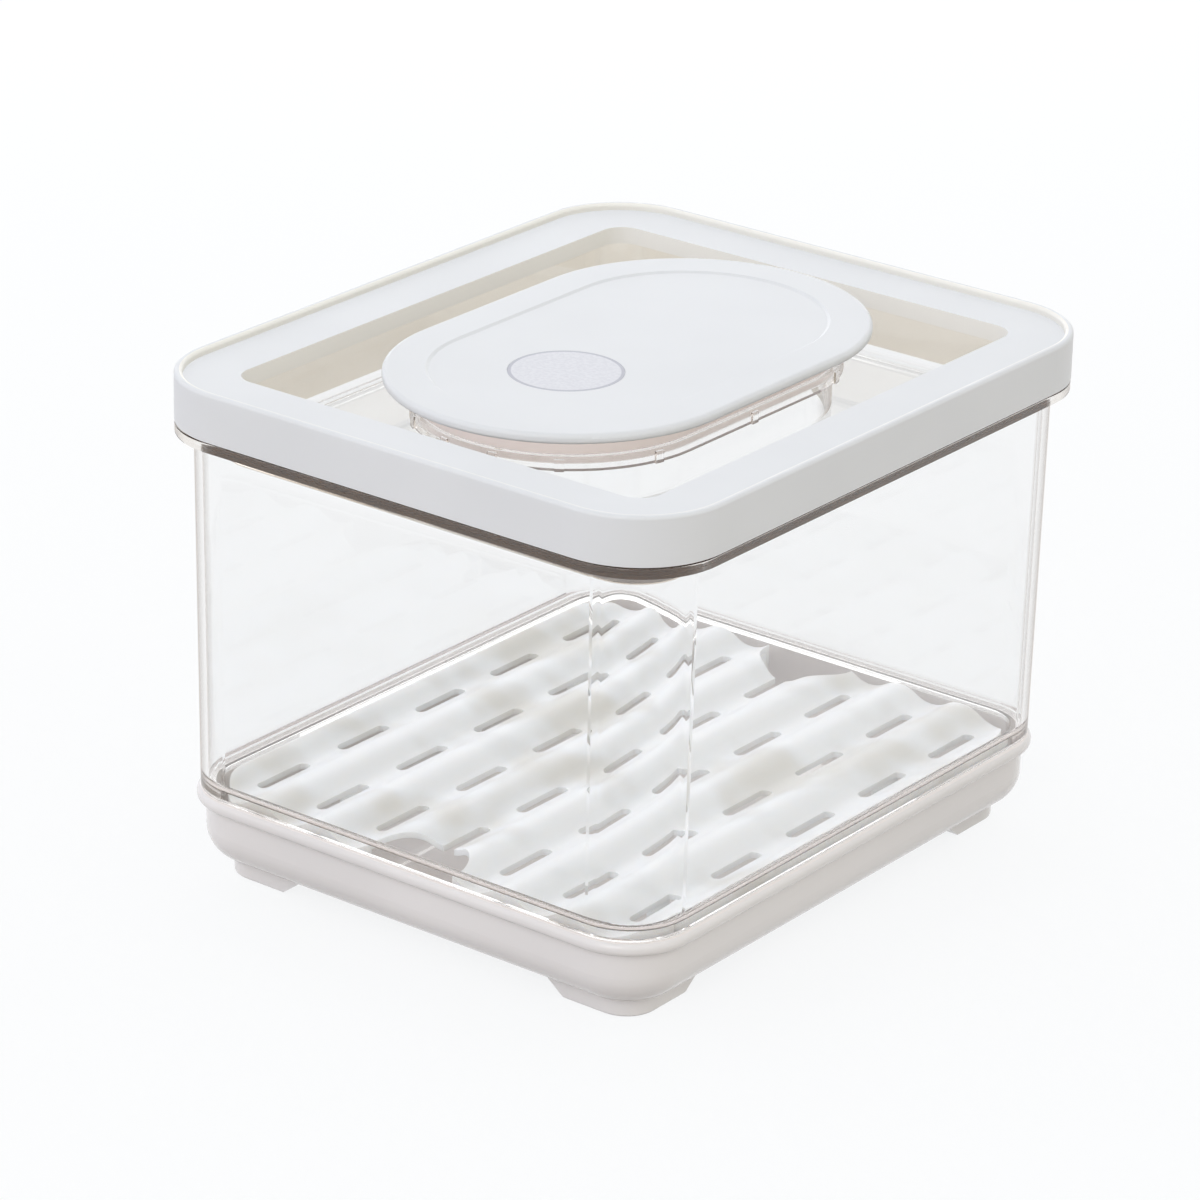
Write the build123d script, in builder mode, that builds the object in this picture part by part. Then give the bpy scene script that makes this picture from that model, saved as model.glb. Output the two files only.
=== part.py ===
import os
from math import atan2, degrees, radians, sqrt, tan

from build123d import *

# A fridge storage bin: white base tray, clear bin, corrugated strainer, framed clear lid, access hatch.
# The origin is the centre of the footprint, on the plane that the feet stand on. X is the width, Y the
# depth, and the photographed front corner is at +X, -Y. Sizes are in millimetres, angles in degrees.

# Clear bin
bin_width = 167.2  # outside, just under the flange
bin_depth = 198.4
bin_corner_radius = 20.0
bin_wall = 2.2
bin_floor = 2.2
bin_draft = 0.62  # the wall opens upwards
bin_wall_height = 106.3  # from the tray's rim to the underside of the flange
flange_reach = 5.2
flange_thickness = 3.0
bin_rim_height = 5.5  # upstand above the flange, inside the lid's band

# Base tray
foot_height = 5.0
tray_height = 21.6  # from the tray's underside to its rim
tray_wall = 2.2
tray_floor = 2.2
tray_bottom_radius = 10.0
bead_proud = 1.1  # the rim bead beyond the bin's wall
bead_step = 2.6  # the bead beyond the tray's own wall
bead_height = 4.0
foot_inset = 10.4  # the feet's outer faces, inside the bead
foot_length = 23.0
foot_flare = 6.5  # how far a foot's ends spread at the tray

# Strainer
strainer_clearance = 1.2  # to the nested part of the bin
strainer_corner_radius = 15.0
deck_height = 15.3  # the deck's lowest line, above the bin's floor
deck_thickness = 1.8
skirt_drop = 5.0  # the skirt's edge, below the deck's lowest line
wave_pitch = 21.8
wave_height = 3.2
slot_length = 20.8
slot_width = 3.8
slot_pitch = 34.6
slot_margin = 3.0  # least distance from a slot to the edge
notch_radius = 15.0
leg_diameter = 8.0
leg_draft = 1.5

# Lid frame
band_reach = 5.75  # the band beyond the bin's wall
band_wall = 2.2
band_corner_radius = 27.0
frame_top = 2.2
frame_border = 18.8  # from the band's face to the opening
opening_radius = 7.0
opening_lip = 5.0  # skirt round the opening, from the frame's top
opening_lip_wall = 1.8
stack_lip_height = 2.0
stack_lip_wall = 2.4
snap_length = 22.0
snap_reach = 1.1
snap_height = 1.4

# Clear lid panel
panel_thickness = 2.0
panel_floor = 2.3
panel_draft = 3.0
recess_depth = 18.3  # from the panel's flange to the recess floor
recess_set_back = 4.2  # the recess wall, behind the edge of the opening
recess_radius = 14.0
recess_fillet = 1.6  # round the recess floor
collar_height = 14.7  # above the recess floor
collar_wall = 1.7
seat_depth = 2.4  # the hatch's seat, below the collar's top
seat_width = 3.0
rib_angles = (16.0, 54.0, 79.0)  # round each end of the collar, from the width axis
rib_width = 2.6
rib_reach = 0.7

# Hatch
hatch_width = 100.2
hatch_length = 157.8
plate_thickness = 3.0
plate_overhang = 7.6  # beyond the collar
plug_height = 8.5
plug_wall = 2.4
plug_web = 1.5
groove_depth = 1.2
groove_height = 1.4
groove_lift = 0.5  # the groove above the plug's lower edge
inset_border = 12.7
inset_depth = 0.5
inset_slope = 60.0  # of the inset's edge, from upright
badge_diameter = 32.0
badge_thickness = 0.6

# Lid seal
seal_width = 3.4  # the flange that lies over the bin's rim
seal_height = 2.4
seal_skirt = 1.6  # wall of the skirt round the recess
seal_lift = 4.8  # the skirt's lower edge, above the panel's underside
lip_height = 1.2
lip_count = 3

# Fits
nest_clearance = 0.3  # bin in tray, panel in frame
band_gap = 0.25  # the lid's band above the bin's flange
seal_gap = 0.05
lip_gap = 0.35  # from the seal's lips to the bin's wall
snap_gap = 0.05
plug_clearance = 0.5
ring_clearance = 0.25
badge_clearance = 0.1

# Edge rounds
soft_edge = 0.8
bead_round = 0.45 * bead_height
plate_round = 0.42 * plate_thickness

# Heights, from the feet up
tray_floor_top = foot_height + tray_floor
tray_rim = foot_height + tray_height
bin_bottom = tray_floor_top + nest_clearance
bin_floor_top = bin_bottom + bin_floor
flange_bottom = tray_rim + bin_wall_height
flange_top = flange_bottom + flange_thickness
bin_top = flange_top + bin_rim_height
seal_bottom = bin_top + seal_gap
panel_under = seal_bottom + seal_height
panel_top = panel_under + panel_thickness
frame_flat = panel_top + frame_top
band_bottom = flange_top + band_gap
recess_floor = panel_top - recess_depth
panel_bottom = recess_floor - panel_floor
seal_skirt_bottom = panel_bottom + seal_lift
collar_top = recess_floor + collar_height
hatch_seat = collar_top - seat_depth
plate_bottom = hatch_seat + plug_height
plate_top = plate_bottom + plate_thickness
deck_low = bin_floor_top + deck_height
deck_high = deck_low + wave_height
skirt_bottom = deck_low - skirt_drop


def grow(plan, by):
    """Offsets a plan, given as half width, half depth and corner radius."""
    half_x, half_y, radius = plan
    return half_x + by, half_y + by, radius + by


def outline(plan, height):
    """A rounded rectangle at a height."""
    half_x, half_y, radius = plan
    with BuildSketch(Plane.XY.offset(height)) as sketch:
        RectangleRounded(2 * half_x, 2 * half_y, radius)
    return sketch.sketch


def stadium(radius, height):
    """The hatch's round-ended outline at a height: all of its rings share two end centres."""
    with BuildSketch(Plane.XY.offset(height)) as sketch:
        SlotCenterToCenter(2 * end_centre, 2 * radius, rotation=90)
    return sketch.sketch


def wave_section(drop):
    """A section under the deck's wave, lowered by drop: one arc for each trough and crest."""
    half_pitch = wave_pitch / 2
    middle = deck_low + wave_height / 2 - drop
    side_waves = int(strainer_plan[0] / wave_pitch + 0.5)  # troughs on each side of the middle one
    count = 4 * side_waves + 3  # troughs and crests, with one crest beyond each outer trough
    start = -count * half_pitch / 2
    with BuildSketch(Plane.XZ) as sketch:
        with BuildLine():
            for i in range(count):
                left = start + i * half_pitch
                crest = 1 if i % 2 == 0 else -1
                ThreePointArc(
                    (left, middle),
                    (left + half_pitch / 2, middle + crest * wave_height / 2),
                    (left + half_pitch, middle),
                )
            Polyline((-start, middle), (-start, skirt_bottom), (start, skirt_bottom), (start, middle))
        make_face()
    return sketch.sketch


# Plans, as half width, half depth and corner radius
bin_plan = (bin_width / 2, bin_depth / 2, bin_corner_radius)
bin_foot_plan = grow(bin_plan, -tan(radians(bin_draft)) * bin_wall_height)
bead_plan = grow(bin_foot_plan, bead_proud)
tray_plan = grow(bead_plan, -bead_step)
tray_inside = grow(tray_plan, -tray_wall)
nest_plan = grow(tray_inside, -nest_clearance)
nest_inside = grow(nest_plan, -bin_wall)
nest_bottom_radius = tray_bottom_radius - tray_wall
foot_plan = grow(bead_plan, -foot_inset)
strainer_plan = (
    nest_inside[0] - strainer_clearance,
    nest_inside[1] - strainer_clearance,
    strainer_corner_radius,
)
slot_columns = int((strainer_plan[0] - slot_width / 2 - slot_margin) / wave_pitch)  # each side of the middle
slot_rows = int((strainer_plan[1] - slot_length / 2 - slot_margin) / slot_pitch)
flange_plan = grow(bin_plan, flange_reach)
band_plan = (bin_width / 2 + band_reach, bin_depth / 2 + band_reach, band_corner_radius)
band_inside = grow(band_plan, -band_wall)
panel_plan = grow(band_inside, -nest_clearance)
opening_plan = (band_plan[0] - frame_border, band_plan[1] - frame_border, opening_radius)
recess_inside = (opening_plan[0] + recess_set_back, opening_plan[1] + recess_set_back, recess_radius)
recess_outside = grow(recess_inside, panel_thickness)

# Hatch radii, outwards from the two end centres
plate_radius = hatch_width / 2
end_centre = hatch_length / 2 - plate_radius
collar_radius = plate_radius - plate_overhang
socket_radius = collar_radius - collar_wall
bore_radius = socket_radius - seat_width
plug_radius = socket_radius - plug_clearance

# Four corner feet, whose ends flare out to the tray
with BuildPart() as feet:
    with BuildSketch(Plane.XY.offset(foot_height)) as foot_tops:
        for side_x in (-1, 1):
            for side_y in (-1, 1):
                with Locations((side_x * foot_plan[0], side_y * foot_plan[1])):
                    Rectangle(2 * (foot_length + foot_flare), 2 * (foot_length + foot_flare))
    extrude(amount=-foot_height, taper=degrees(atan2(foot_flare, foot_height)))
    extrude(foot_tops.sketch, amount=tray_floor / 2)
    extrude(outline(foot_plan, 0), amount=tray_floor_top, mode=Mode.INTERSECT)
    fillet(feet.edges().group_by(Axis.Z)[0], soft_edge)

with BuildPart() as tray_hollow:
    extrude(outline(tray_inside, tray_floor_top), amount=tray_height)
    fillet(tray_hollow.edges().group_by(Axis.Z)[0], nest_bottom_radius)

with BuildPart() as base_tray:
    extrude(outline(bead_plan, tray_rim), amount=-bead_height)
    fillet(base_tray.edges().group_by(Axis.Z)[-1] + base_tray.edges().group_by(Axis.Z)[0], bead_round)
    extrude(outline(tray_plan, foot_height), amount=tray_height - bead_height / 2)
    fillet(base_tray.edges().group_by(Axis.Z)[0], tray_bottom_radius)
    add(feet.part)
    add(tray_hollow.part, mode=Mode.SUBTRACT)
base_tray.part.label = "base_tray"

# The bin steps in at the tray's rim, so that its shoulder rests on the bead
with BuildPart() as bin_hollow:
    extrude(outline(grow(bin_plan, -bin_wall), flange_bottom), amount=flange_thickness + bin_rim_height)
    extrude(
        outline(grow(bin_plan, -bin_wall), flange_bottom),
        amount=bin_wall - bin_wall_height,
        taper=bin_draft,
    )
    fillet(bin_hollow.edges().group_by(Axis.Z)[0], soft_edge + bin_wall)
    extrude(outline(nest_inside, bin_floor_top), amount=tray_rim + 2 * bin_wall - bin_floor_top)
    fillet(bin_hollow.edges().group_by(Axis.Z)[0], nest_bottom_radius - bin_wall)

with BuildPart() as bin_body:
    extrude(outline(bin_plan, flange_bottom), amount=-bin_wall_height, taper=bin_draft)
    fillet(bin_body.edges().group_by(Axis.Z)[0], soft_edge)
    extrude(outline(nest_plan, bin_bottom), amount=tray_rim + bin_wall - bin_bottom)
    fillet(bin_body.edges().group_by(Axis.Z)[0], nest_bottom_radius)
    extrude(outline(flange_plan, flange_bottom), amount=flange_thickness)
    flange_edges = bin_body.edges().group_by(Axis.Z)[-1]
    fillet(flange_edges, soft_edge)
    extrude(outline(bin_plan, flange_bottom), amount=flange_thickness + bin_rim_height)
    add(bin_hollow.part, mode=Mode.SUBTRACT)
    chamfer(bin_body.edges().group_by(Axis.Z)[-1], 0.25 * bin_wall)
bin_body.part.label = "bin_body"

with BuildPart() as strainer_hollow:
    extrude(wave_section(deck_thickness), amount=strainer_plan[1], both=True)
    extrude(
        outline(grow(strainer_plan, -deck_thickness), skirt_bottom),
        amount=deck_high - skirt_bottom,
        mode=Mode.INTERSECT,
    )

# A wave along the width, slots in its troughs, a skirt round the edge and a finger notch at each end
with BuildPart() as strainer:
    extrude(wave_section(0), amount=strainer_plan[1], both=True)
    extrude(outline(strainer_plan, skirt_bottom), amount=deck_high - skirt_bottom, mode=Mode.INTERSECT)
    add(strainer_hollow.part, mode=Mode.SUBTRACT)
    with BuildSketch(Plane.XY.offset(skirt_bottom)):
        with GridLocations(wave_pitch, slot_pitch, 2 * slot_columns + 1, 2 * slot_rows + 1):
            SlotOverall(slot_length, slot_width, rotation=90)
        with Locations((0, strainer_plan[1]), (0, -strainer_plan[1])):
            Circle(notch_radius)
    extrude(amount=deck_high - skirt_bottom, mode=Mode.SUBTRACT)
    leg_top = deck_high - deck_thickness / 2
    leg_span = (2 * slot_columns - 1) * wave_pitch  # the legs stand under crests, between rows of slots
    with BuildSketch(Plane.XY.offset(leg_top)):
        with GridLocations(leg_span, (slot_rows - 0.5) * slot_pitch, 2, 3):
            Circle(leg_diameter / 2)
    extrude(amount=bin_floor_top - leg_top, taper=leg_draft)
strainer.part.label = "strainer"

with BuildPart() as lid_frame:
    extrude(outline(band_plan, band_bottom), amount=frame_flat + stack_lip_height - band_bottom)
    extrude(outline(grow(band_plan, -stack_lip_wall), frame_flat), amount=stack_lip_height, mode=Mode.SUBTRACT)
    fillet(lid_frame.edges().group_by(Axis.Z)[-1], 0.4 * stack_lip_wall)
    extrude(outline(band_inside, band_bottom), amount=panel_top - band_bottom, mode=Mode.SUBTRACT)
    extrude(outline(grow(opening_plan, opening_lip_wall), frame_flat), amount=-opening_lip)
    extrude(outline(opening_plan, frame_flat), amount=-opening_lip, mode=Mode.SUBTRACT)
    snap_top = panel_under - snap_gap
    with BuildSketch(Plane.XY.offset(snap_top)):
        with GridLocations(2 * band_inside[0], band_inside[1], 2, 2):
            Rectangle(2 * snap_reach, snap_length)
        with GridLocations(band_inside[0], 2 * band_inside[1], 2, 2):
            Rectangle(snap_length, 2 * snap_reach)
    extrude(amount=-snap_height)
lid_frame.part.label = "lid_frame"

with BuildPart() as panel_hollow:
    extrude(outline(recess_inside, panel_top), amount=-recess_depth, taper=panel_draft)
    fillet(panel_hollow.edges().group_by(Axis.Z)[0], recess_fillet)

with BuildPart() as lid_panel:
    extrude(outline(recess_outside, panel_top), amount=panel_bottom - panel_top, taper=panel_draft)
    fillet(lid_panel.edges().group_by(Axis.Z)[0], soft_edge + panel_thickness / 2)
    extrude(outline(panel_plan, panel_top), amount=-panel_thickness)
    add(panel_hollow.part, mode=Mode.SUBTRACT)
    extrude(stadium(bore_radius + collar_wall, recess_floor), amount=hatch_seat - recess_floor)
    extrude(stadium(collar_radius, collar_top), amount=-(seat_depth + collar_wall))
    rib_centres = [(side * collar_radius, 0, 0) for side in (-1, 1)]
    for angle in rib_angles:
        for side_x in (-1, 1):
            for side_y in (-1, 1):
                turn = angle if side_x > 0 else 180 - angle
                arm = Vector(collar_radius, 0).rotate(Axis.Z, side_y * turn)
                rib_centres.append((arm.X, arm.Y + side_y * end_centre, side_y * turn))
    for rib_x, rib_y, turn in rib_centres:
        with BuildSketch(Plane.XY.offset(hatch_seat - collar_wall)):
            with Locations(Location((rib_x, rib_y, 0), (0, 0, turn))):
                Rectangle(2 * rib_reach, rib_width)
        extrude(amount=seat_depth + collar_wall - rib_reach)
    extrude(stadium(bore_radius, panel_bottom), amount=collar_top - panel_bottom, mode=Mode.SUBTRACT)
    extrude(stadium(socket_radius, hatch_seat), amount=seat_depth, mode=Mode.SUBTRACT)
lid_panel.part.label = "lid_panel"

# A soft seal: a flange over the bin's rim, and a skirt round the recess with lips towards the bin's wall
seal_outside = grow(bin_plan, (seal_width - bin_wall) / 2)
seal_inside = grow(recess_outside, seal_gap - tan(radians(panel_draft)) * panel_thickness)
lip_plan = grow(bin_plan, -bin_wall - lip_gap)
lip_pitch = (seal_bottom - seal_skirt_bottom) / lip_count
with BuildPart() as seal_hollow:
    extrude(outline(seal_inside, panel_under), amount=seal_skirt_bottom - panel_under, taper=panel_draft)

with BuildPart() as lid_seal:
    extrude(
        outline(grow(seal_inside, seal_skirt), panel_under),
        amount=seal_skirt_bottom - panel_under,
        taper=panel_draft,
    )
    extrude(outline(seal_outside, seal_bottom), amount=seal_height)
    for i in range(lip_count):
        extrude(outline(lip_plan, seal_skirt_bottom + i * lip_pitch), amount=lip_height)
    add(seal_hollow.part, mode=Mode.SUBTRACT)
lid_seal.part.label = "lid_seal"

badge_centre = (0, -end_centre)
inset_top = plate_top - inset_depth
badge_bottom = inset_top - badge_thickness
with BuildPart() as hatch_plate:
    extrude(stadium(plate_radius, plate_bottom), amount=plate_thickness)
    fillet(hatch_plate.edges(), plate_round)
    extrude(
        stadium(plate_radius - inset_border, inset_top),
        amount=inset_depth,
        taper=-inset_slope,
        mode=Mode.SUBTRACT,
    )
    with BuildSketch(Plane.XY.offset(badge_bottom)):
        with Locations(badge_centre):
            Circle(badge_diameter / 2 + badge_clearance)
    extrude(amount=badge_thickness, mode=Mode.SUBTRACT)
hatch_plate.part.label = "hatch_plate"

with BuildPart() as hatch_badge:
    with BuildSketch(Plane.XY.offset(badge_bottom)):
        with Locations(badge_centre):
            Circle(badge_diameter / 2)
    extrude(amount=badge_thickness)
hatch_badge.part.label = "hatch_badge"

groove_bottom = hatch_seat + groove_lift
with BuildPart() as hatch_plug:
    extrude(stadium(plug_radius, hatch_seat), amount=plug_height)
    extrude(stadium(plug_radius - plug_wall, hatch_seat), amount=plug_height - plug_web, mode=Mode.SUBTRACT)
    with BuildSketch(Plane.XY.offset(groove_bottom)):
        SlotCenterToCenter(2 * end_centre, 2 * plug_radius, rotation=90)
        SlotCenterToCenter(2 * end_centre, 2 * (plug_radius - groove_depth), rotation=90, mode=Mode.SUBTRACT)
    extrude(amount=groove_height, mode=Mode.SUBTRACT)
hatch_plug.part.label = "hatch_plug"

with BuildPart() as hatch_seal:
    extrude(stadium(socket_radius - ring_clearance, groove_bottom), amount=groove_height)
    extrude(stadium(plug_radius - groove_depth, groove_bottom), amount=groove_height, mode=Mode.SUBTRACT)
hatch_seal.part.label = "hatch_seal"

os.makedirs("parts", exist_ok=True)
export_step(base_tray.part, "parts/base_tray.step")
export_step(bin_body.part, "parts/bin_body.step")
export_step(strainer.part, "parts/strainer.step")
export_step(lid_frame.part, "parts/lid_frame.step")
export_step(lid_panel.part, "parts/lid_panel.step")
export_step(lid_seal.part, "parts/lid_seal.step")
export_step(hatch_plate.part, "parts/hatch_plate.step")
export_step(hatch_badge.part, "parts/hatch_badge.step")
export_step(hatch_plug.part, "parts/hatch_plug.step")
export_step(hatch_seal.part, "parts/hatch_seal.step")
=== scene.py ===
import math

import bmesh
import bpy
from mathutils import Matrix, Vector

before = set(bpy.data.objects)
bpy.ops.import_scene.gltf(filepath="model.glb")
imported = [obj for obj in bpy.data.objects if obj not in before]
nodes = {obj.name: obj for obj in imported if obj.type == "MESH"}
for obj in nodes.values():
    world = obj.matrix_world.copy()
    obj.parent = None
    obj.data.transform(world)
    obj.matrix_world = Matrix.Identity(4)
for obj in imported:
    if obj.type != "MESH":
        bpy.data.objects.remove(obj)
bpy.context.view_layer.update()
print("frame loaded:", ", ".join(sorted(nodes)))


def hexColor(text):
    # sRGB hex to the linear values that the shader sockets take
    out = []
    for i in (0, 2, 4):
        c = int(text.lstrip("#")[i:i + 2], 16) / 255
        out.append(c / 12.92 if c <= 0.04045 else ((c + 0.055) / 1.055) ** 2.4)
    return (*out, 1.0)


def addNode(tree, kind, settings=None, values=None, links=None):
    # settings are the node's own options, values its sockets, links socket -> output of another node
    node = tree.nodes.new(kind)
    for name, value in (settings or {}).items():
        setattr(node, name, value)
    for name, value in (values or {}).items():
        node.inputs[name].default_value = value
    for name, output in (links or {}).items():
        tree.links.new(output, node.inputs[name])
    return node


def mathNode(tree, operation, first, second):
    # second is a number or the output of another node
    node = addNode(tree, "ShaderNodeMath", {"operation": operation}, links={0: first})
    if isinstance(second, (int, float)):
        node.inputs[1].default_value = second
    else:
        tree.links.new(second, node.inputs[1])
    return node.outputs[0]


def mixTones(tree, share, low, high):
    # low and high are hex colours or outputs of other nodes
    lowSocket, highSocket, toneOutput = 6, 7, 2
    mix = addNode(tree, "ShaderNodeMix", {"data_type": "RGBA"}, links={0: share})
    for socket, tone in ((lowSocket, low), (highSocket, high)):
        if isinstance(tone, str):
            mix.inputs[socket].default_value = hexColor(tone)
        else:
            tree.links.new(tone, mix.inputs[socket])
    return mix.outputs[toneOutput]


def seenRay(tree, path):
    # 1 for the rays that show a thing: straight to the camera, mirrored or through a clear wall
    mirrored = mathNode(tree, "MAXIMUM", path.outputs["Is Camera Ray"], path.outputs["Is Glossy Ray"])
    return mathNode(tree, "MAXIMUM", mirrored, path.outputs["Is Transmission Ray"])


def fillRay(tree, path):
    # 1 for the rays that only shade or fill
    return mathNode(tree, "MAXIMUM", path.outputs["Is Shadow Ray"], path.outputs["Is Diffuse Ray"])


def newMaterial(name):
    material = bpy.data.materials.new(name)
    material.use_nodes = True
    material.node_tree.nodes.clear()
    return material, material.node_tree


def perMetre(millimetres):
    # texture scale for a pattern whose features are this many millimetres apart
    return 1000.0 / millimetres


usualGlowMm = 2.0  # how far light wanders inside a moulding that names no glowMm
glowReach = (1.0, 0.9, 0.8)  # of which red light goes the whole way and blue the least
inwardBelow = -0.01  # metres from the middle, along the face, below which a face looks inwards
ringFade = 0.0003  # metres over which the badge's ring fades in


def moulded(name, look):
    # an opaque moulding; Object coordinates carry the grain, so it stays put on every piece
    material, tree = newMaterial(name)
    place = addNode(tree, "ShaderNodeTexCoord").outputs["Object"]
    cloud = addNode(tree, "ShaderNodeTexNoise", values={
        "Scale": perMetre(look["cloudMm"]), "Detail": 2.0, "Roughness": 0.5}, links={"Vector": place})
    grain = addNode(tree, "ShaderNodeTexNoise", values={
        "Scale": perMetre(look["grainMm"]), "Detail": 3.0, "Roughness": 0.6}, links={"Vector": place})
    patch = addNode(tree, "ShaderNodeMapRange", {"interpolation_type": "SMOOTHSTEP"}, values={
        "From Min": look["cloudEdge"][0], "From Max": look["cloudEdge"][1]}, links={"Value": cloud.outputs["Fac"]})
    tone = mixTones(tree, patch.outputs["Result"], look["shade"], look["colour"])
    if "inside" in look:  # faces that look towards the middle of the piece get another colour: painted light for the hollow they face
        fromMiddle = addNode(tree, "ShaderNodeMapping", values={
            "Location": (0.0, 0.0, -look["middleHeight"]), "Scale": (1.0, 1.0, look["middleShare"])}, links={
            "Vector": place})
        outwards = addNode(tree, "ShaderNodeVectorMath", {"operation": "DOT_PRODUCT"}, links={
            0: fromMiddle.outputs["Vector"], 1: addNode(tree, "ShaderNodeNewGeometry").outputs["Normal"]})
        inner = mathNode(tree, "LESS_THAN", outwards.outputs["Value"], inwardBelow)
        tone = mixTones(tree, inner, tone, look["inside"])
    if "ring" in look:  # a thin darker line round the disc's edge, painted shade where the disc meets its recess
        fromMiddle = addNode(tree, "ShaderNodeMapping", values={
            "Location": look["ringMiddle"], "Scale": (1.0, 1.0, 0.0)}, links={"Vector": place})
        reach = addNode(tree, "ShaderNodeVectorMath", {"operation": "LENGTH"}, links={0: fromMiddle.outputs["Vector"]})
        line = addNode(tree, "ShaderNodeMapRange", values={
            "From Min": look["ringRadius"] - ringFade, "From Max": look["ringRadius"]}, links={
            "Value": reach.outputs["Value"]})
        tone = mixTones(tree, line.outputs["Result"], tone, look["ring"])
    polish = addNode(tree, "ShaderNodeMapRange", values={
        "To Min": look["roughness"][0], "To Max": look["roughness"][1]}, links={"Value": grain.outputs["Fac"]})
    bump = addNode(tree, "ShaderNodeBump", values={
        "Strength": look["bump"], "Distance": look["bumpMm"] / 1000}, links={"Height": grain.outputs["Fac"]})
    shader = addNode(tree, "ShaderNodeBsdfPrincipled", values={
        "IOR": look["ior"], "Subsurface Weight": look["glow"], "Subsurface Radius": glowReach,
        "Subsurface Scale": look.get("glowMm", usualGlowMm) / 1000, "Coat Weight": look["coat"],
        "Coat Roughness": look["coatRoughness"]}, links={
        "Base Color": tone, "Roughness": polish.outputs["Result"], "Normal": bump.outputs["Normal"]})
    surface = shader.outputs["BSDF"]
    if look["lit"] > 0:  # the share of the colour that comes from light on the far side of the wall
        behind = addNode(tree, "ShaderNodeBsdfTranslucent", links={"Color": tone})
        surface = addNode(tree, "ShaderNodeMixShader", values={0: look["lit"]}, links={
            1: surface, 2: behind.outputs["BSDF"]}).outputs["Shader"]
    if look["soak"] > 0:  # a thin pale wall lets a share of the light soak through to what is behind it
        path = addNode(tree, "ShaderNodeLightPath")
        share = mathNode(tree, "MULTIPLY", fillRay(tree, path), look["soak"])
        beyond = addNode(tree, "ShaderNodeBsdfTransparent")
        surface = addNode(tree, "ShaderNodeMixShader", links={
            0: share, 1: surface, 2: beyond.outputs["BSDF"]}).outputs["Shader"]
    addNode(tree, "ShaderNodeOutputMaterial", links={"Surface": surface})
    return material


# ABS, injection moulded in a spark-eroded tool: a fine even grain that spreads the highlights
satinMoulding = {
    "cloudMm": 45, "cloudEdge": (0.3, 0.7), "grainMm": 0.6, "roughness": (0.38, 0.5), "bump": 0.12, "bumpMm": 0.03,
    "ior": 1.52, "glow": 0.05, "coat": 0.0, "coatRoughness": 0.1, "soak": 0.92, "lit": 0.0}
satinAbs = moulded("SatinAbsMoulded", {**satinMoulding, "colour": "#e5e7eb", "shade": "#e2e4e8"})
# the same ABS on the lid's frame, paler on the walls round the recess: painted light for the light that falls into it
paintedRecessLightAbs = moulded("SatinAbsPaintedRecessLight", {
    **satinMoulding, "colour": "#e5e7eb", "shade": "#e2e4e8", "inside": "#fbf9f4", "middleHeight": 0.0,
    "middleShare": 0.0})
# the plug under the hatch: a warmer, pinker white, painted shade tint for the shadow under the plate
warmAbs = moulded("SatinAbsWarm", {**satinMoulding, "colour": "#f4e9e6", "shade": "#efe3e0"})
# ABS from a polished tool: glossy, with the slight orange peel of a thick moulding; paler and pinker on its inner
# faces, painted light for the inside of the tray
glossAbs = moulded("GlossAbsMoulded", {
    "colour": "#edeaeb", "shade": "#e7e4e5", "cloudMm": 60, "cloudEdge": (0.3, 0.7), "grainMm": 3.5,
    "roughness": (0.2, 0.28), "bump": 0.05, "bumpMm": 0.03, "ior": 1.52, "glow": 0.05, "coat": 0.6,
    "coatRoughness": 0.1, "soak": 0.25, "lit": 0.0, "inside": "#f4edec", "middleHeight": 0.1, "middleShare": 1.0})
# polypropylene, moulded thin: waxy highlights, bluish white with soft warm grey patches at random, painted shade for
# the blotchy shading on the crests
waxyPolypropylene = moulded("PolypropyleneMoulded", {
    "colour": "#f5f9ff", "shade": "#dddcd8", "cloudMm": 34, "cloudEdge": (0.34, 0.56), "grainMm": 1.2,
    "roughness": (0.42, 0.52), "bump": 0.08, "bumpMm": 0.03, "ior": 1.49, "glow": 0.6, "glowMm": 3.0, "coat": 0.15,
    "coatRoughness": 0.35, "soak": 0.95, "lit": 0.0})
# silicone, moulded matt: even and dull, without a coat
mattMoulding = {
    "cloudMm": 12, "cloudEdge": (0.3, 0.7), "grainMm": 0.5, "roughness": (0.5, 0.62), "bump": 0.1, "bumpMm": 0.02,
    "ior": 1.41, "glow": 0.0, "coat": 0.0, "coatRoughness": 0.1, "soak": 0.95}
# dull brown towards the bin's wall, painted shade for the dim gap there; pale greige towards the recess, brightened as
# painted light
paintedShadeAndLightSilicone = moulded("SiliconePaintedShadeAndLight", {
    **mattMoulding, "colour": "#573812", "shade": "#4c3010", "lit": 0.5, "inside": "#fcf6ea", "middleHeight": 0.0,
    "middleShare": 0.0})
# the hatch's ring: pale, a little pink
paleSilicone = moulded("SiliconePale", {**mattMoulding, "colour": "#f8edea", "shade": "#f0e5e1", "lit": 0.3})
# badge disc: grey lilac, fine satin speckle, with a painted shade line round its edge
speckledDisc = moulded("SatinDiscSpeckled", {
    "colour": "#e1e2e9", "shade": "#d8d9e1", "cloudMm": 1.1, "cloudEdge": (0.3, 0.7), "grainMm": 0.7,
    "roughness": (0.3, 0.55), "bump": 0.25, "bumpMm": 0.05, "ior": 1.5, "glow": 0.0, "coat": 0.0,
    "coatRoughness": 0.1, "soak": 0.0, "lit": 0.0, "ring": "#b9bac6", "ringMiddle": (0.0, 0.0288, 0.0),
    "ringRadius": 0.0152})
print("opaque mouldings ready")


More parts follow.
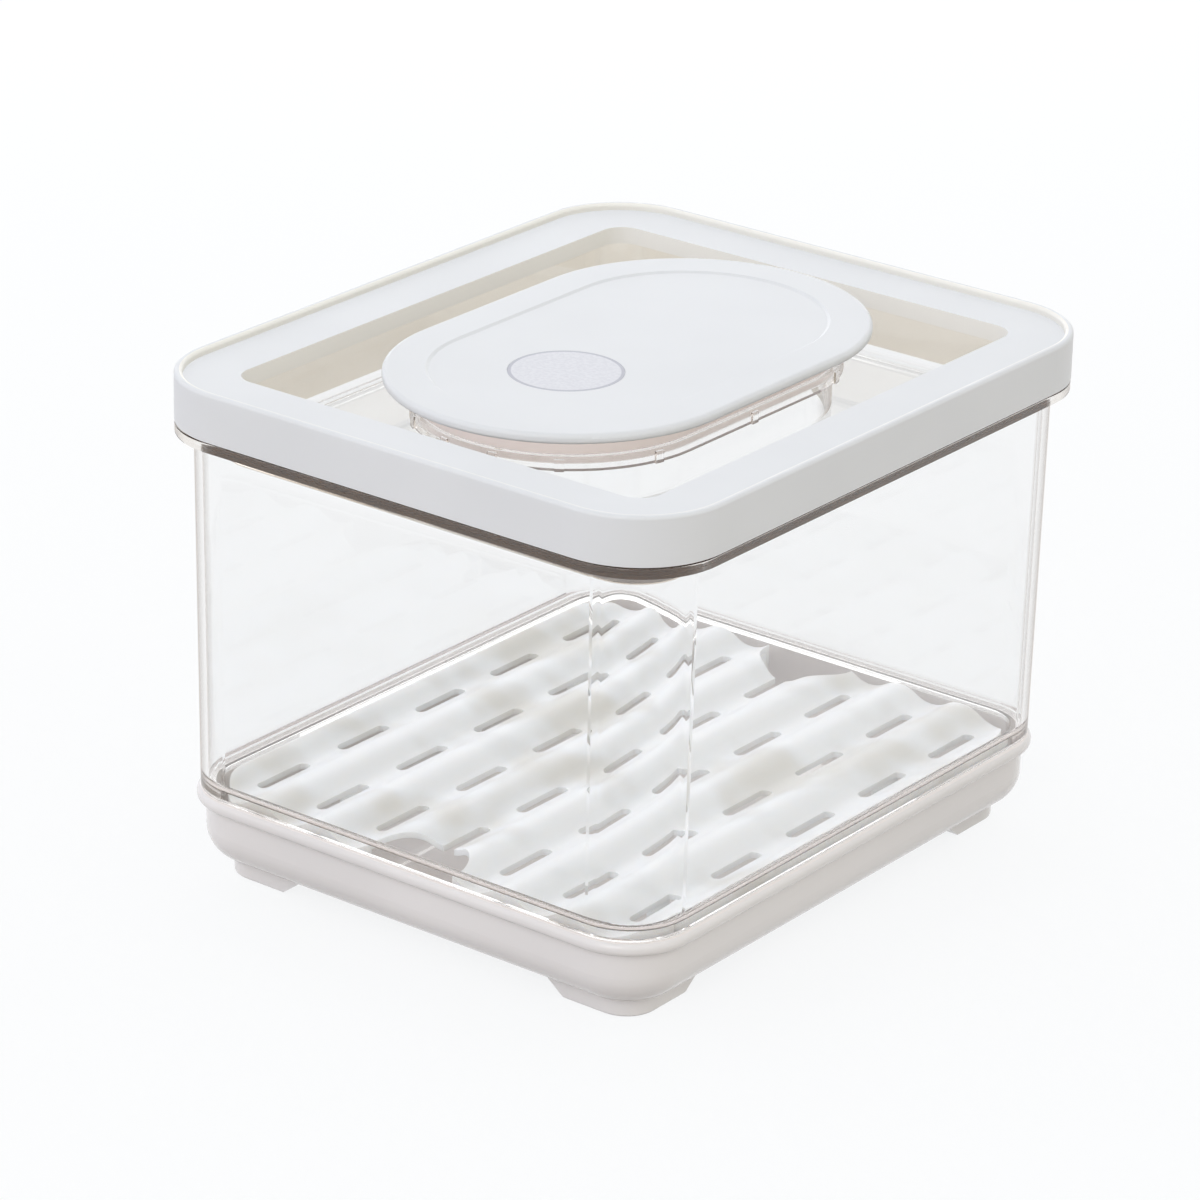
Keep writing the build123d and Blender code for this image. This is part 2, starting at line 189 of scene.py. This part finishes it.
def clearMoulding(name, look):
    # solid clear wall: light that only fills or shades goes straight through, so the inside isn't dark, and
    # so does a ray that has turned too often inside the wall, which would otherwise end black
    material, tree = newMaterial(name)
    place = addNode(tree, "ShaderNodeTexCoord").outputs["Object"]
    flow = addNode(tree, "ShaderNodeTexNoise", values={
        "Scale": perMetre(look["flowMm"]), "Detail": 1.0, "Roughness": 0.4}, links={"Vector": place})
    scuff = addNode(tree, "ShaderNodeTexNoise", values={
        "Scale": perMetre(look["scuffMm"]), "Detail": 4.0, "Roughness": 0.65}, links={"Vector": place})
    haze = addNode(tree, "ShaderNodeMapRange", values={
        "From Min": look["scuffEdge"][0], "From Max": look["scuffEdge"][1], "To Min": look["roughness"][0],
        "To Max": look["roughness"][1]}, links={"Value": scuff.outputs["Fac"]})
    bump = addNode(tree, "ShaderNodeBump", values={
        "Strength": look["bump"], "Distance": look["bumpMm"] / 1000}, links={"Height": flow.outputs["Fac"]})
    # a wall seen almost along its surface is tinted brown as a thin line: a painted reflection of darker surroundings
    # seen through the edge
    graze = addNode(tree, "ShaderNodeLayerWeight", values={"Blend": 0.5})
    along = addNode(tree, "ShaderNodeMapRange", values={
        "From Min": look["line"][0], "From Max": look["line"][1]}, links={"Value": graze.outputs["Facing"]})
    # only upright edges have it: the level ones at the flange and the shoulder stay pale
    normal = addNode(tree, "ShaderNodeSeparateXYZ", links={0: addNode(tree, "ShaderNodeNewGeometry").outputs["Normal"]})
    slope = addNode(tree, "ShaderNodeMath", {"operation": "ABSOLUTE"}, links={0: normal.outputs["Z"]})
    upright = addNode(tree, "ShaderNodeMapRange", values={
        "From Min": look["uprightTo"][0], "From Max": look["uprightTo"][1], "To Min": 1.0, "To Max": 0.0},
        links={"Value": slope.outputs[0]})
    brown = mathNode(tree, "MULTIPLY", along.outputs["Result"], upright.outputs["Result"])
    clear = addNode(tree, "ShaderNodeBsdfPrincipled", values={"IOR": look["ior"], "Transmission Weight": 1.0}, links={
        "Base Color": mixTones(tree, brown, look["tint"], look["lineColour"]), "Roughness": haze.outputs["Result"],
        "Normal": bump.outputs["Normal"]})
    through = addNode(tree, "ShaderNodeBsdfTransparent", values={"Color": hexColor(look["through"])})
    path = addNode(tree, "ShaderNodeLightPath")
    lastTurn = look["turns"] - 0.5  # depths are whole numbers, so this one counts too
    lost = mathNode(tree, "GREATER_THAN", path.outputs["Ray Depth"], lastTurn)
    passing = mathNode(tree, "MAXIMUM", fillRay(tree, path), lost)
    mixed = addNode(tree, "ShaderNodeMixShader", links={
        0: passing, 1: clear.outputs["BSDF"], 2: through.outputs["BSDF"]})
    depth = addNode(tree, "ShaderNodeVolumeAbsorption", values={
        "Color": hexColor(look["edge"]), "Density": look["edgeDensity"]})
    addNode(tree, "ShaderNodeOutputMaterial", links={
        "Surface": mixed.outputs["Shader"], "Volume": depth.outputs["Volume"]})
    return material


# styrene acrylonitrile, moulded in a mirror-polished tool: water clear, hard edges to the highlights
clearSan = clearMoulding("StyreneAcrylonitrileClear", {
    "tint": "#fdfeff", "line": (0.58, 0.88), "lineColour": "#5d4128", "uprightTo": (0.1, 0.35), "through": "#fefefe",
    "edge": "#cdb79a", "edgeDensity": 18.0, "turns": 4, "flowMm": 40, "scuffMm": 14, "scuffEdge": (0.45, 0.75),
    "roughness": (0.0, 0.02), "bump": 0.02, "bumpMm": 0.05, "ior": 1.57})
print("clear mouldings ready")

finishes = {
    "base_tray": glossAbs, "bin_body": clearSan, "strainer": waxyPolypropylene, "lid_frame": paintedRecessLightAbs,
    "lid_panel": clearSan, "lid_seal": paintedShadeAndLightSilicone, "hatch_plate": satinAbs, "hatch_badge": speckledDisc,
    "hatch_plug": warmAbs, "hatch_seal": paleSilicone}
for node, material in finishes.items():
    nodes[node].data.materials.clear()
    nodes[node].data.materials.append(material)
print("finishes on", len(finishes), "nodes")


def studioFloor(look):
    material, tree = newMaterial("StudioFloor")
    path = addNode(tree, "ShaderNodeLightPath")
    # the object is lit from below by warm paper, and the camera sees white paper that keeps the shadow
    paper = addNode(tree, "ShaderNodeBsdfDiffuse", values={"Color": hexColor(look["paper"])})
    shade = addNode(tree, "ShaderNodeBsdfDiffuse", values={"Color": hexColor(look["shadeShare"])})
    white = addNode(tree, "ShaderNodeEmission", values={"Color": hexColor(look["white"]), "Strength": look["glow"]})
    shown = addNode(tree, "ShaderNodeAddShader", links={0: shade.outputs["BSDF"], 1: white.outputs["Emission"]})
    mixed = addNode(tree, "ShaderNodeMixShader", links={
        0: seenRay(tree, path), 1: paper.outputs["BSDF"], 2: shown.outputs["Shader"]})
    # a camera below the floor looks through it at the underside
    facing = addNode(tree, "ShaderNodeNewGeometry")
    below = mathNode(tree, "MULTIPLY", path.outputs["Is Camera Ray"], facing.outputs["Backfacing"])
    gone = addNode(tree, "ShaderNodeBsdfTransparent")
    mixed = addNode(tree, "ShaderNodeMixShader", links={
        0: below, 1: mixed.outputs["Shader"], 2: gone.outputs["BSDF"]})
    addNode(tree, "ShaderNodeOutputMaterial", links={"Surface": mixed.outputs["Shader"]})
    mesh = bpy.data.meshes.new("studioFloor")
    build = bmesh.new()
    bmesh.ops.create_circle(build, cap_ends=True, segments=look["segments"], radius=look["radius"])
    build.to_mesh(mesh)
    build.free()
    mesh.materials.append(material)
    floor = bpy.data.objects.new("studioFloor", mesh)
    floor.location.z = -look["gap"]
    bpy.context.scene.collection.objects.link(floor)


def softbox(name, look):
    lamp = bpy.data.lights.new(name, "AREA")
    lamp.shape = "RECTANGLE"
    lamp.size, lamp.size_y = look["size"]
    lamp.energy = look["watts"]
    lamp.color = hexColor(look["colour"])[:3]
    holder = bpy.data.objects.new(name, lamp)
    bpy.context.scene.collection.objects.link(holder)
    holder.location = look["place"]
    holder.rotation_euler = (Vector(look["aim"]) - Vector(look["place"])).to_track_quat("-Z", "Y").to_euler()


def studioWorld(look):
    world = bpy.data.worlds.new("studio")
    bpy.context.scene.world = world
    world.use_nodes = True
    tree = world.node_tree
    tree.nodes.clear()
    path = addNode(tree, "ShaderNodeLightPath")
    # a bright ring of light round the object and a dimmer ceiling, so light comes in through the clear walls
    place = addNode(tree, "ShaderNodeTexCoord").outputs["Generated"]
    direction = addNode(tree, "ShaderNodeSeparateXYZ", links={0: place})
    level = addNode(tree, "ShaderNodeMapRange", {"interpolation_type": "SMOOTHSTEP"}, values={
        "From Min": look["ringTop"], "From Max": look["ceiling"], "To Min": look["ringLevel"],
        "To Max": look["ceilingLevel"]}, links={"Value": direction.outputs["Z"]})
    # the light from the right is a little warmer and dimmer than that from the left
    across = addNode(tree, "ShaderNodeMapRange", links={"Value": direction.outputs["X"]})
    fill = addNode(tree, "ShaderNodeBackground", links={
        "Color": mixTones(tree, across.outputs["Result"], look["fill"], look["fillRight"]),
        "Strength": level.outputs["Result"]})
    # rounded clear edges bend the view up to a brown ceiling, which draws them as thin lines
    above = addNode(tree, "ShaderNodeMapRange", values={
        "From Min": look["brownFrom"], "From Max": look["brownFull"]}, links={"Value": direction.outputs["Z"]})
    bent = mathNode(tree, "MULTIPLY", above.outputs["Result"], path.outputs["Is Transmission Ray"])
    white = addNode(tree, "ShaderNodeBackground", values={"Strength": 1.0}, links={
        "Color": mixTones(tree, bent, look["white"], look["brown"])})
    mixed = addNode(tree, "ShaderNodeMixShader", links={
        0: seenRay(tree, path), 1: fill.outputs["Background"], 2: white.outputs["Background"]})
    addNode(tree, "ShaderNodeOutputWorld", links={"Surface": mixed.outputs["Shader"]})


studioFloor({"paper": "#958c86", "shadeShare": "#676767", "white": "#fdfeff", "glow": 0.865, "radius": 4.0,
             "segments": 64, "gap": 0.0002})
studioWorld({"fill": "#fbfcff", "fillRight": "#e5e4da", "ringLevel": 1.45, "ringTop": 0.7, "ceilingLevel": 0.22,
             "ceiling": 0.85, "white": "#fdfeff", "brown": "#8a6f54", "brownFrom": 0.55, "brownFull": 0.7})
softbox("backSoftbox", {"size": (1.1, 0.35), "watts": 2.0, "colour": "#ffffff", "place": (-0.8, 0.9, 0.32),
                        "aim": (0, 0, 0.03)})
softbox("frontSoftbox", {"size": (0.6, 0.6), "watts": 2.0, "colour": "#ffffff", "place": (0.35, -1.2, 0.75),
                         "aim": (0, 0, 0.08)})
print("studio ready")


def photoCamera(look):
    azimuth, elevation, roll = (math.radians(look[k]) for k in ("azimuth", "elevation", "roll"))
    forward = Vector((-math.sin(azimuth) * math.cos(elevation), math.cos(azimuth) * math.cos(elevation),
                      -math.sin(elevation)))
    right = Vector((math.cos(azimuth), math.sin(azimuth), 0))
    up = right.cross(forward)
    turnedRight = right * math.cos(roll) + up * math.sin(roll)
    turnedUp = up * math.cos(roll) - right * math.sin(roll)
    lens = bpy.data.cameras.new("photoCamera")
    lens.lens, lens.sensor_width = look["lens"], look["sensor"]
    lens.clip_start, lens.clip_end = look["clip"]
    camera = bpy.data.objects.new("photoCamera", lens)
    bpy.context.scene.collection.objects.link(camera)
    turn = Matrix((turnedRight, turnedUp, -forward)).transposed()
    camera.matrix_world = Matrix.Translation(look["place"]) @ turn.to_4x4()
    bpy.context.scene.camera = camera


photoCamera({"azimuth": 37.33, "elevation": 22.68, "roll": 1.34, "lens": 156.82, "sensor": 36.0,
             "clip": (0.05, 20.0), "place": (0.8165, -1.0819, 0.64055)})
bpy.context.scene.view_settings.view_transform = "Standard"
print("camera ready")
